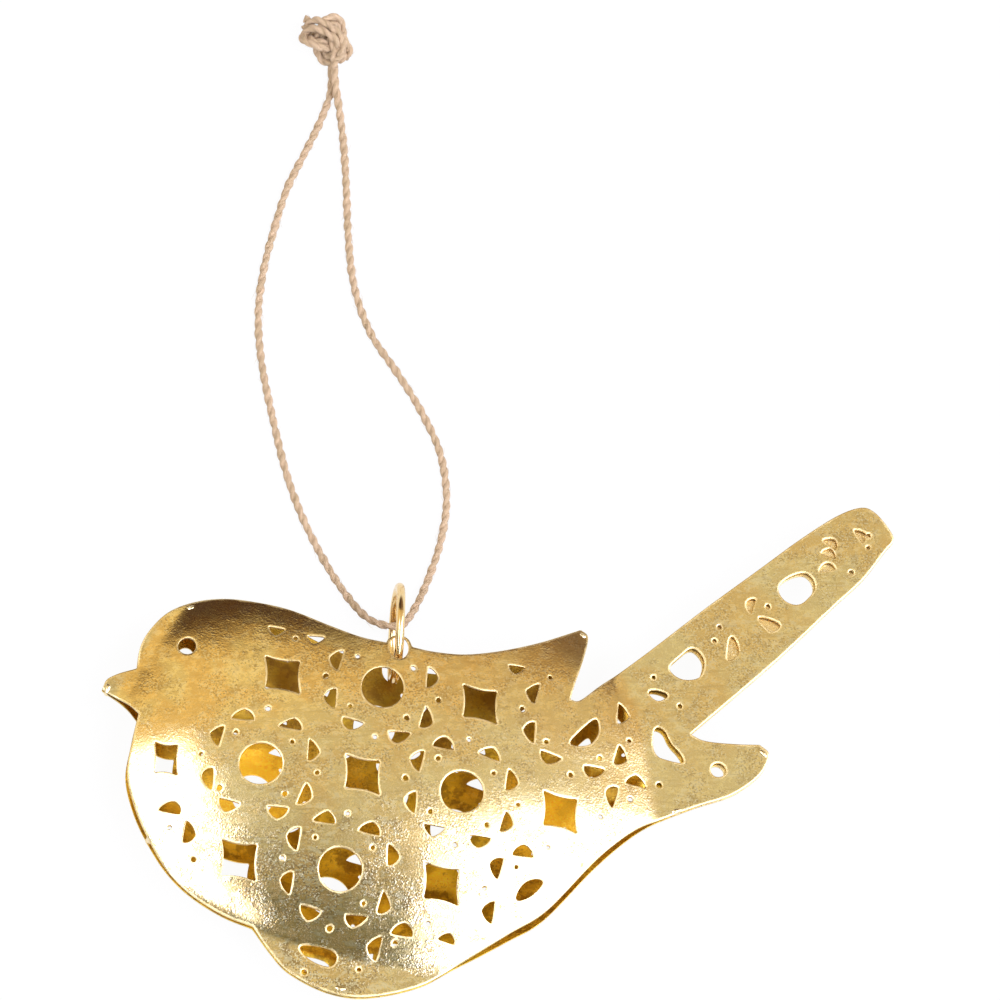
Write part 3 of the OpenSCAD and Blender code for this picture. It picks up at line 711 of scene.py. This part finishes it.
PETALS = [
    (-0.328, 0.034), (-0.363, 0.008), (-0.375, -0.049), (-0.350, -0.085), (-0.289, -0.096),
    (-0.252, -0.075), (-0.241, -0.016), (-0.269, 0.020), (-0.210, 0.105), (-0.219, 0.052),
    (-0.192, 0.016), (-0.133, -0.001), (-0.096, 0.025), (-0.088, 0.079), (-0.077, -0.007),
    (-0.113, -0.030), (-0.018, -0.019), (0.009, -0.055), (-0.122, -0.085), (0.001, -0.110),
    (-0.093, -0.122), (-0.035, -0.135), (-0.230, -0.102), (-0.270, -0.128), (-0.173, -0.117),
    (-0.144, -0.151), (-0.279, -0.182), (-0.250, -0.220), (-0.191, -0.231), (-0.154, -0.210),
    (-0.133, -0.241), (-0.169, -0.261), (-0.016, -0.166), (0.020, -0.144), (-0.026, -0.220),
    (0.038, 0.064), (0.032, 0.010), (0.058, -0.025), (0.157, 0.043), (0.152, -0.014),
    (0.115, -0.039), (0.135, -0.068), (0.170, -0.044), (-0.421, -0.081), (-0.397, -0.114),
]
SMALL_PETALS = [(-0.233, 0.131), (-0.283, 0.144), (-0.077, -0.251), (0.020, 0.093)]
DOTS = [
    (-0.259, 0.134), (-0.182, 0.108), (-0.223, 0.082), (-0.194, 0.041), (-0.164, 0.000),
    (-0.123, 0.025), (-0.082, 0.049), (-0.112, 0.092), (-0.085, -0.028), (-0.045, -0.003),
    (-0.015, -0.046), (-0.127, -0.054), (-0.097, -0.097), (0.015, -0.086), (-0.026, -0.113),
    (-0.067, -0.139), (-0.201, -0.099), (-0.242, -0.128), (-0.170, -0.142), (-0.283, -0.152),
    (-0.224, -0.238), (-0.182, -0.210), (-0.142, -0.257), (-0.101, -0.235), (-0.187, -0.287),
    (0.011, -0.165), (-0.030, -0.192), (0.052, -0.139), (0.063, 0.085), (0.025, 0.040),
    (0.054, -0.002), (0.084, -0.044), (0.123, -0.019), (0.163, 0.008), (0.121, -0.096),
    (0.161, -0.070), (0.200, -0.048), (-0.268, -0.005), (-0.338, 0.010), (-0.297, 0.040),
    (-0.382, -0.016), (-0.238, -0.046), (-0.279, -0.072), (-0.360, -0.061), (-0.422, -0.107),
    (-0.393, -0.148), (-0.256, -0.290), (0.198, 0.094),
]
EYE, LOBE_HOLE = (-0.394, 0.131), (0.276, -0.028)
TAIL_PETALS = [
    (0.431, 0.273, -36), (0.428, 0.259, -15), (0.424, 0.240, 5), (0.470, 0.283, -60),
    (0.324, 0.189, 65),
]
TAIL_DOTS = [
    (0.479, 0.281), (0.478, 0.265), (0.277, 0.142), (0.347, 0.187), (0.284, 0.160),
    (0.230, 0.056), (0.455, 0.232),
]
TAIL_WEDGES = [
    [(0.331, 0.174), (0.347, 0.172), (0.363, 0.164), (0.361, 0.159), (0.351, 0.153),
     (0.345, 0.156)],
    [(0.297, 0.148), (0.303, 0.147), (0.308, 0.133), (0.309, 0.125), (0.296, 0.115),
     (0.292, 0.118), (0.294, 0.135)],
]
CUTOUTS = [
    [(-0.263, -0.253), (-0.212, -0.263), (-0.218, -0.285), (-0.240, -0.280), (-0.258, -0.267)],
    [(0.009, -0.208), (0.012, -0.195), (0.023, -0.182), (0.038, -0.178), (0.047, -0.182),
     (0.039, -0.193), (0.025, -0.204)],
    [(0.082, -0.002), (0.093, -0.006), (0.111, -0.003), (0.120, 0.008), (0.124, 0.018),
     (0.123, 0.031), (0.118, 0.034), (0.098, 0.015)],
    [(0.195, 0.030), (0.210, 0.026), (0.216, 0.008), (0.230, -0.007), (0.234, -0.020),
     (0.217, -0.017), (0.193, -0.009)],
    [(0.216, 0.107), (0.233, 0.122), (0.247, 0.134), (0.257, 0.129), (0.265, 0.115),
     (0.260, 0.097), (0.252, 0.091), (0.236, 0.090), (0.224, 0.096)],
    [(0.359, 0.212), (0.366, 0.196), (0.379, 0.189), (0.390, 0.190), (0.400, 0.199),
     (0.410, 0.212), (0.406, 0.226), (0.395, 0.234), (0.373, 0.226)],
    [(0.189, 0.076), (0.201, 0.078), (0.219, 0.071), (0.204, 0.061), (0.194, 0.067)],
]
TACKS = {
    "beak_solder": (-0.497, 0.081),
    "crown_solder": (-0.386, 0.187),
    "wing_solder": (0.110, 0.150),
    "breast_solder": (-0.448, -0.116),
    "belly_solder": (-0.212, -0.314),
    "rump_solder": (0.222, -0.084),
    "lobe_solder": (0.336, -0.005),
}


def in_mm(shares):
    """Shares of the bird's length in millimetres."""
    return np.array(shares) * BIRD_L


OUTLINE = np.vstack([smooth_line(s, 8) for s in STRETCHES]) * BIRD_L
OUTLINE_STEP, WIDE_STEP, HOLE_STEP, SMALL_STEP = 0.3, 0.25, 0.22, 0.2
EYE_R = 1.3
RING_HOLE_HALF = (1.4, 1.8)
HIGHEST_DENT = 0.02


def dome(p):
    """Height of the front shell's outer face above the rims' plane: flat + rise * left^fullness,
    where left = 1 - |m/length|^power - |n/width|^power along the dome's own turned axes,
    kept above nothing."""
    d = np.asarray(p, float) - DOME_CENTRE
    m = d[..., 0] * math.cos(DOME_TURN) + d[..., 1] * math.sin(DOME_TURN)
    n = d[..., 1] * math.cos(DOME_TURN) - d[..., 0] * math.sin(DOME_TURN)
    side = np.clip(n / DOME_SIDE, 0, 1)
    back = side * side * (3 - 2 * side)
    half_l = DOME_HALF_L + back * (DOME_BACK_L - DOME_HALF_L)
    half_w = DOME_HALF_W + back * (DOME_BACK_W - DOME_HALF_W)
    left = 1 - np.abs(m / half_l) ** DOME_POWER - np.abs(n / half_w) ** DOME_POWER
    kept = (left + np.sqrt(left * left + DOME_EDGE**2)) / 2
    return FLAT_H + (DOME_H - FLAT_H) * np.minimum(1, kept**DOME_FULLNESS)


def dents(p, draw):
    """The sheet's soft dents: a sum of nine waves 7 to 20 mm long in all directions."""
    total = np.zeros(len(p))
    for _ in range(9):
        angle, wave = draw.uniform(0, math.pi), draw.uniform(7, 20)
        phase = draw.uniform(0, 2 * math.pi)
        run = p[:, 0] * math.cos(angle) + p[:, 1] * math.sin(angle)
        total += np.sin(2 * math.pi * run / wave + phase) * wave / 14
    return total / 3 * 0.035


def circle_loop(centre, radius, spacing, draw, uneven):
    """A round hole whose radius wavers a little: r * (1 + uneven * (sin 2a + 0.6 sin 3a))."""
    count = max(12, int(round(2 * math.pi * radius / spacing)))
    a = round_angles(count)
    s = draw.uniform(0, 6.28, 2)
    r = radius * (1 + uneven * (np.sin(2 * a + s[0]) + 0.6 * np.sin(3 * a + s[1])))
    return centre + np.stack([r * np.cos(a), r * np.sin(a)], 1)


def dot_loop(share, widest, draw):
    return circle_loop(in_mm(share), draw.uniform(0.3, widest), SMALL_STEP, draw, 0.06)


def hollow_square_loop(centre, scale=(1.0, 1.0)):
    """A leaning square whose sides bow inwards by 4*bow*t*(1-t), with softened corners."""
    corners = np.array([(-0.5, -0.5), (0.5, -0.5), (0.5, 0.5), (-0.5, 0.5)])
    t = (np.arange(8) / 8)[None, :, None]
    a, b = corners[:, None], np.roll(corners, -1, axis=0)[:, None]
    p = (a + t * (b - a) - (a + b) * SQUARE_BOW * 4 * t * (1 - t)).reshape(-1, 2)
    lean, side_lean = math.radians(SQUARE_TURN), math.radians(SQUARE_SIDE_TURN)
    across = np.array([math.cos(lean), math.sin(lean)])
    along = np.array([math.sin(side_lean), math.cos(side_lean)])
    p = SQUARE_W * (p[:, :1] * scale[0] * across + p[:, 1:] * scale[1] * along)
    return centre + cut_corners(p, 2)


def petal_loop(centre, draw, turn=None, scale=1.0):
    """A petal: straight on the side of its circle, arched and a little pointed outside, each one
    different. Its straight side runs with the squares' sides, turned a fifth of the way towards
    its circle."""
    t = np.linspace(0, math.pi, 15)
    size = draw.uniform(0.96, 1.06, 2) * scale
    point = draw.uniform(0.15, 0.5)
    rise = (1 - point) * np.sin(t) + point * (1 - np.abs(np.cos(t)))
    along = PETAL_L * size[0] * (0.5 * np.cos(t) + draw.uniform(-0.04, 0.15) * np.sin(t))
    p = cut_corners(np.stack([along, PETAL_W * size[1] * (rise - 0.5)], 1), 1)
    if turn is None:
        places = in_mm(CIRCLES + OUTER_CIRCLES + CUT_OFF_CIRCLE)
        off = centre - places[np.argmin(np.linalg.norm(places - centre, axis=1))]
        away = math.degrees(math.atan2(off[1], off[0]))
        square = SQUARE_TURN + 90 * round((away - SQUARE_TURN) / 90)
        turn = square + 0.2 * (away - square) - 90
    return centre + turned(p, math.radians(turn) + draw.normal(0, 0.05))


def ring_hole_loop():
    """Where the slanting wire meets the sheet: an ellipse along the wire's run."""
    a = round_angles(48)
    p = np.stack([RING_HOLE_HALF[0] * np.cos(a), RING_HOLE_HALF[1] * np.sin(a)], 1)
    return RING_HOLE + turned(p, -RING_LEAN)


def shell_loops(front):
    """The outline, anticlockwise, and all holes, clockwise, so that the sheet is on each loop's left.
    The back shell's pattern is drawn out, turned and slipped, with its circles and squares a little
    further off. Its eye and tail holes only slip. It lacks three dots and the tail's small cuts."""
    draw = np.random.default_rng(3)
    off = 0 if front else BIRD_L
    circles = in_mm(CIRCLES) + np.array(BACK_CIRCLE_OFFS) * off
    squares = in_mm(SQUARES) + np.array(BACK_SQUARE_OFFS) * off
    breast_square = in_mm(BREAST_SQUARE) + np.array(BACK_BREAST_OFF) * off
    shapes = [(circle_loop(c, CIRCLE_R, WIDE_STEP, draw, 0.012), WIDE_STEP) for c in circles]
    shapes += [(hollow_square_loop(c), WIDE_STEP) for c in squares]
    shapes += [(hollow_square_loop(breast_square, BREAST_SQUARE_SCALE), WIDE_STEP)]
    for shares, scale in ((PETALS, 1.0), (SMALL_PETALS, SMALL_PETAL_SCALE)):
        shapes += [(petal_loop(in_mm(c), draw, scale=scale), SMALL_STEP) for c in shares]
    dots = [(dot_loop(c, 0.42, draw), SMALL_STEP) for c in DOTS]
    shapes += [dot for i, dot in enumerate(dots) if front or i not in BACK_LOST_DOTS]
    shapes += [(cut_corners(in_mm(c), 2), HOLE_STEP) for c in CUTOUTS[:3]]
    eye = circle_loop(in_mm(EYE), EYE_R, HOLE_STEP, draw, 0.02)
    tail = [circle_loop(in_mm(LOBE_HOLE), LOBE_HOLE_R, HOLE_STEP, draw, 0.03)]
    tail += [cut_corners(in_mm(c), 2) for c in CUTOUTS[3:]]
    if not front:
        shapes = [
            (turned(shape * (1, BACK_STRETCH), BACK_TURN) + BACK_SLIP, step) for shape, step in shapes
        ]
        eye = eye + BACK_EYE_SLIP
        tail = [hole + BACK_TAIL_SLIP for hole in tail]
    shapes += [(hole, HOLE_STEP) for hole in [eye, *tail]]
    if front:
        for x, y, turn in TAIL_PETALS:
            shapes.append((petal_loop(in_mm((x, y)), draw, turn, TAIL_PETAL_SCALE), SMALL_STEP))
        shapes += [(dot_loop(c, 0.4, draw), SMALL_STEP) for c in TAIL_DOTS]
        shapes += [(cut_corners(in_mm(c), 1), HOLE_STEP) for c in TAIL_WEDGES]
    shapes.append((ring_hole_loop(), HOLE_STEP))
    outline = even_line(OUTLINE, OUTLINE_STEP)
    loops = [outline if area_of(outline) > 0 else outline[::-1]]
    for shape, step in shapes:
        loop = even_line(shape, step)
        loops.append(loop if area_of(loop) < 0 else loop[::-1])
    return loops


def inset(loop, distance):
    """The loop moved into the sheet, on its left, along the mean of each corner's two normals."""
    ahead = unit(np.roll(loop, -1, axis=0) - loop)
    mean = unit(ahead + np.roll(ahead, 1, axis=0))
    return loop + distance * np.stack([-mean[:, 1], mean[:, 0]], 1)


def rim_distances(points, loops):
    """The distance of each point from the sheet's edge, beside the edge point nearest to it."""
    starts = np.vstack(loops)
    ends = np.vstack([np.roll(loop, -1, axis=0) for loop in loops])
    before = np.vstack([np.roll(loop, 1, axis=0) for loop in loops])
    tree = kdtree.KDTree(len(starts))
    for i, p in enumerate(starts):
        tree.insert((p[0], p[1], 0), i)
    tree.balance()
    near = np.array([tree.find((p[0], p[1], 0))[1] for p in points])

    def to_piece(a, b):
        ab = b - a
        t = np.sum((points - a) * ab, axis=1) / np.maximum(np.sum(ab * ab, axis=1), 1e-12)
        return np.linalg.norm(points - a - ab * np.clip(t, 0, 1)[:, None], axis=1)

    return np.minimum(to_piece(starts[near], ends[near]), to_piece(before[near], starts[near]))


ROLL_WIDTH, ROLL_DROP = 0.26, 0.035
INSETS = (0.06, 0.15, 0.27, 0.42)
NET_SPACING, NET_MARGIN = 0.85, 0.66


def shell_sheet(front):
    """The flat pierced sheet as a net: its edges, rows of points close along them, a wide net between.
    Gives its points, its triangles, and how far each point lies from the edges."""
    loops = shell_loops(front)
    edge_points = np.vstack(loops)
    extra = []
    for distance in INSETS:
        row = np.vstack([inset(loop, distance) for loop in loops])
        extra.append(row[rim_distances(row, loops) > 0.93 * distance])
    low, high = edge_points.min(0), edge_points.max(0)
    net = []
    for k, y in enumerate(np.arange(low[1], high[1], NET_SPACING * math.sqrt(3) / 2)):
        x = np.arange(low[0] + (k % 2) * NET_SPACING / 2, high[0], NET_SPACING)
        net.append(np.stack([x, np.full(len(x), y)], 1))
    net = np.vstack(net)
    net = net[is_inside(net, loops[0])]
    for loop in loops[1:]:
        close = np.all((net > loop.min(0) - 1) & (net < loop.max(0) + 1), axis=1)
        drop = np.zeros(len(net), bool)
        drop[close] = is_inside(net[close], loop)
        net = net[~drop]
    net = net[rim_distances(net, loops) > NET_MARGIN]
    points = np.vstack([edge_points] + extra + [net])
    faces, start = [], 0
    for loop in loops:
        index = list(range(start, start + len(loop)))
        faces.append(index if area_of(loop) > 0 else index[::-1])
        start += len(loop)
    found = geometry.delaunay_2d_cdt([Vector(p) for p in points], [], faces, 1, 1e-5, True)
    flat = np.array([tuple(v) for v in found[0]])
    in_sheet = [f for f, sources in zip(found[2], found[5]) if sources == [0]]
    triangles = np.array(in_sheet, dtype=np.int64)
    a, b, c = (flat[triangles[:, k]] for k in range(3))
    way = (b[:, 0] - a[:, 0]) * (c[:, 1] - a[:, 1]) - (b[:, 1] - a[:, 1]) * (c[:, 0] - a[:, 0])
    triangles[way < 0] = triangles[way < 0][:, ::-1]
    return flat, triangles, rim_distances(flat, loops)


def find_rims(triangles):
    """The net's open edges, each with the sheet on its left."""
    sides = np.vstack([triangles[:, [0, 1]], triangles[:, [1, 2]], triangles[:, [2, 0]]])
    key = sides.min(1) * (sides.max() + 1) + sides.max(1)
    _, first, count = np.unique(key, return_index=True, return_counts=True)
    return sides[first[count == 1]]


def make_shell(name, node, front):
    """One shell: the net raised to the dome, its edges rolled down by drop*(1 - distance/width)^2,
    a second skin the sheet's thickness below, and walls round every edge.
    The back shell is made the same way and mirrored."""
    draw = np.random.default_rng(21 if front else 22)
    net, triangles, rim = shell_sheet(front)
    height = dome(net)
    wave = dents(net, draw) * np.clip((height - FLAT_H) / 3, 0.25, 1)
    roll = ROLL_DROP * np.clip(1 - rim / ROLL_WIDTH, 0, 1) ** 2
    skin = height + np.minimum(wave, HIGHEST_DENT)
    count = len(net)
    z = np.concatenate([skin - roll, skin - SHEET_T])
    z = RIM_Z + z if front else RIM_Z - z
    points = np.column_stack([np.vstack([net, net]), z])
    edges = find_rims(triangles)
    a, b = edges[:, 0], edges[:, 1]
    walls = [np.stack([a + count, b + count, b], 1), np.stack([a + count, b, a], 1)]
    faces = np.vstack([triangles, triangles[:, ::-1] + count, *walls])
    if not front:
        faces = faces[:, ::-1]
    piece = make_piece(name, points, faces, SHELL_BRASS)
    keep_values(piece, "rim_distance", np.concatenate([rim, rim]))
    keep_values(piece, "inside", np.concatenate([np.zeros(count), np.ones(count)]))
    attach(piece, "bird")
    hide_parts(node)


make_shell("bird_front", "front_shell", True)
make_shell("bird_back", "back_shell", False)


# The wire ring and the solder
HOLE_H = float(dome(RING_HOLE)) - SHEET_T / 2
RING_REACH = math.sqrt(RING_R**2 - HOLE_H**2)


def make_ring():
    """A closed wire: a torus a little out of round, whose wire swells by a few hundredths."""
    rows, sides = 220, 28
    u = round_angles(rows)[:, None]
    v = round_angles(sides)[None]
    thick = WIRE_D / 2 * (1 + 0.02 * np.sin(3 * u + 1) + 0.015 * np.sin(7 * u) - 0.015)
    sweep = RING_R + 0.03 * np.sin(2 * u + 0.6) - 0.02
    reach = sweep + thick * np.cos(v)
    x = thick * np.sin(v) + 0.05 * np.sin(3 * u + 0.4)
    y = RING_REACH + reach * np.cos(u)
    flat = RING_HOLE + turned(np.stack([x, y], -1).reshape(-1, 2), -RING_LEAN)
    points = np.column_stack([flat, (RIM_Z + reach * np.sin(u)).ravel()])
    faces = grid_faces(rows, sides, closed_rows=True)
    piece = make_piece("wire_ring", points, faces, RING_BRASS)
    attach(piece, "ring")
    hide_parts("hanging_ring")


make_ring()

# A tack's reach along the rim and across it, as shares, and how far off the rim it lies, inwards
TACK_L, TACK_W, TACK_OFF = 1.1, 0.5, -0.3
TACK_CAP, TACK_WAIST = 0.42, 0.35


def make_tack(node, share, seed):
    """A run tack of solder: a low lump at each rim and a neck between them, longer along the rim
    than across. Its reach at height h is r * sqrt(1 - (over/cap)^2), over being how far h lies past
    the rim, and it is knobbly by three low waves."""
    draw = np.random.default_rng(seed)
    at = in_mm(share)
    rim = float(dome(at)) - SHEET_T / 2
    near = int(np.argmin(np.linalg.norm(OUTLINE - at, axis=1)))
    run = OUTLINE[(near + 3) % len(OUTLINE)] - OUTLINE[near - 3]
    run /= np.linalg.norm(run)
    side = np.array([-run[1], run[0]])
    rows, sides = 34, 28
    s = np.linspace(-math.pi / 2, math.pi / 2, rows)[:, None]
    a = round_angles(sides)[None]
    h = np.sin(s) * (rim + TACK_CAP)
    over = np.maximum(0, np.abs(h) - rim) / TACK_CAP
    top = np.sqrt(np.maximum(0, 1 - over**2))
    waist = 1 - TACK_WAIST * np.clip(1 - np.abs(h) / max(rim, 0.01), 0, 1) ** 0.7
    lump = 1 + 0.08 * np.sin(2 * a + draw.uniform(0, 6))
    lump = lump + 0.07 * np.sin(3 * a + 2.2 * h + draw.uniform(0, 6))
    lump = lump + 0.05 * np.sin(5 * h + a + draw.uniform(0, 6))
    reach = BEAD_D / 2 * top * waist * lump
    along, across = reach * np.cos(a) * TACK_L, reach * np.sin(a) * TACK_W + TACK_OFF
    flat = at + along[..., None] * run + across[..., None] * side
    points = np.dstack([flat, RIM_Z + h + 0 * a]).reshape(-1, 3)
    piece = make_piece(node.replace("_solder", "_tack"), points, grid_faces(rows, sides), SOLDER)
    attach(piece, "bird")
    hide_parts(node)


for number, (node, share) in enumerate(TACKS.items()):
    make_tack(node, share, 40 + number)


# Floor and studio
WHITE = (1, 1, 1, 1)
FLOOR_GREY = (0.86, 0.86, 0.86, 1)
FLOOR_HALF = 30.0
FLOOR_WHITE_SHARE = 0.94


def make_floor():
    """A wide floor. The camera and the metal see it nearly white, with a faint soft shadow,
    and all other light falls on plain grey."""
    mesh = bpy.data.meshes.new("floor")
    corners = [(-1, -1), (1, -1), (1, 1), (-1, 1)]
    mesh.from_pydata([(x * FLOOR_HALF, y * FLOOR_HALF, 0) for x, y in corners], [], [(0, 1, 2, 3)])
    floor = bpy.data.objects.new("floor", mesh)
    bpy.context.scene.collection.objects.link(floor)
    material = bpy.data.materials.new("floor")
    tree, out = new_tree(material, "ShaderNodeOutputMaterial")
    plain = put(tree, "BsdfDiffuse", {"Color": FLOOR_GREY})
    white = put(tree, "Emission", {"Color": WHITE, "Strength": 1.0})
    path = put(tree, "LightPath").outputs
    seen = plus(tree, path["Is Camera Ray"], path["Is Glossy Ray"])
    seen = plus(tree, seen, path["Is Transmission Ray"])
    share = times(tree, maths(tree, "MINIMUM", seen, 1.0), FLOOR_WHITE_SHARE)
    values = {0: share, 1: plain.outputs[0], 2: white.outputs[0]}
    tree.links.new(put(tree, "MixShader", values).outputs[0], out.inputs[0])
    mesh.materials.append(material)


make_floor()


SOFTBOX = (4.2, 4.3, 5.2, 1)
WALL_LEFT, WALL_RIGHT = (0.085, 0.047, 0.032, 1), (0.245, 0.16, 0.10, 1)
STRIP_NEAR, STRIP_FAR = (0.22, 0.215, 0.155, 1), (0.73, 0.67, 0.51, 1)
CEILING_LEFT, CEILING_RIGHT = (0.93, 0.74, 0.385, 1), (0.74, 0.59, 0.36, 1)


def make_world():
    """The studio round the object, by direction: u = x/z and v = y/z, as shares of the height above it.
    A slanting softbox on the left and a wide one on the right, a pale warm ceiling beyond the bird's
    back that ends in a dark wall, a dimmer strip between the boxes, and a white horizon."""
    world = bpy.data.worlds.new("studio")
    bpy.context.scene.world = world
    tree, out = new_tree(world, "ShaderNodeOutputWorld")
    place = put(tree, "TexCoord").outputs["Generated"]
    parts = put(tree, "SeparateXYZ", {0: place}).outputs
    height = larger(tree, parts[2], 0.05)
    u = maths(tree, "DIVIDE", parts[0], height)
    v = maths(tree, "DIVIDE", parts[1], height)

    def both(a, b):
        return times(tree, a, b)

    def slope(start, by_u, by_v):
        """start + by_u * u + by_v * v"""
        return plus(tree, plus(tree, both(u, by_u), both(v, by_v)), start)

    bulge = maths(tree, "ABSOLUTE", maths(tree, "SUBTRACT", v, 0.1))
    bulge = plus(tree, slope(0.31, 1, 0), both(bulge, 0.2))
    left = ramp(tree, bulge, 0.03, -0.04)
    left = both(left, ramp(tree, u, -0.92, -0.82))
    left = both(left, both(ramp(tree, v, 0.42, 0.33), ramp(tree, v, -1.2, -1.0)))
    lean = both(larger(tree, v, 0.0), -0.45)
    right = ramp(tree, plus(tree, slope(-0.07, 1, -0.07), lean), -0.01, 0.14)
    right = both(right, ramp(tree, slope(0, -0.38, 1), 0.20, -0.08))
    right = both(right, right)
    right = both(right, ramp(tree, slope(-2.3, 1, -1), 0.1, -0.1))
    head_side = both(maths(tree, "MINIMUM", u, 0.0), 0.55)
    tail_side = both(larger(tree, u, 0.0), -0.30)
    wall = ramp(tree, plus(tree, plus(tree, v, head_side), tail_side), 0.60, 0.80)
    wall_tone = blend(tree, ramp(tree, u, 0.0, 0.6), WALL_LEFT, WALL_RIGHT)
    strip = blend(tree, ramp(tree, v, -0.6, 0.25), STRIP_NEAR, STRIP_FAR)
    ceiling = blend(tree, ramp(tree, u, -0.4, 0.5), CEILING_LEFT, CEILING_RIGHT)
    colour = blend(tree, ramp(tree, v, 0.30, 0.55), strip, ceiling)
    colour = blend(tree, wall, colour, wall_tone)
    colour = blend(tree, ramp(tree, parts[2], 0.30, 0.10), colour, WHITE)
    colour = blend(tree, left, colour, SOFTBOX)
    colour = blend(tree, right, colour, SOFTBOX)
    background = put(tree, "Background", {"Color": colour, "Strength": 1.0})
    tree.links.new(background.outputs[0], out.inputs[0])


make_world()

bpy.context.scene.view_settings.view_transform = "Standard"
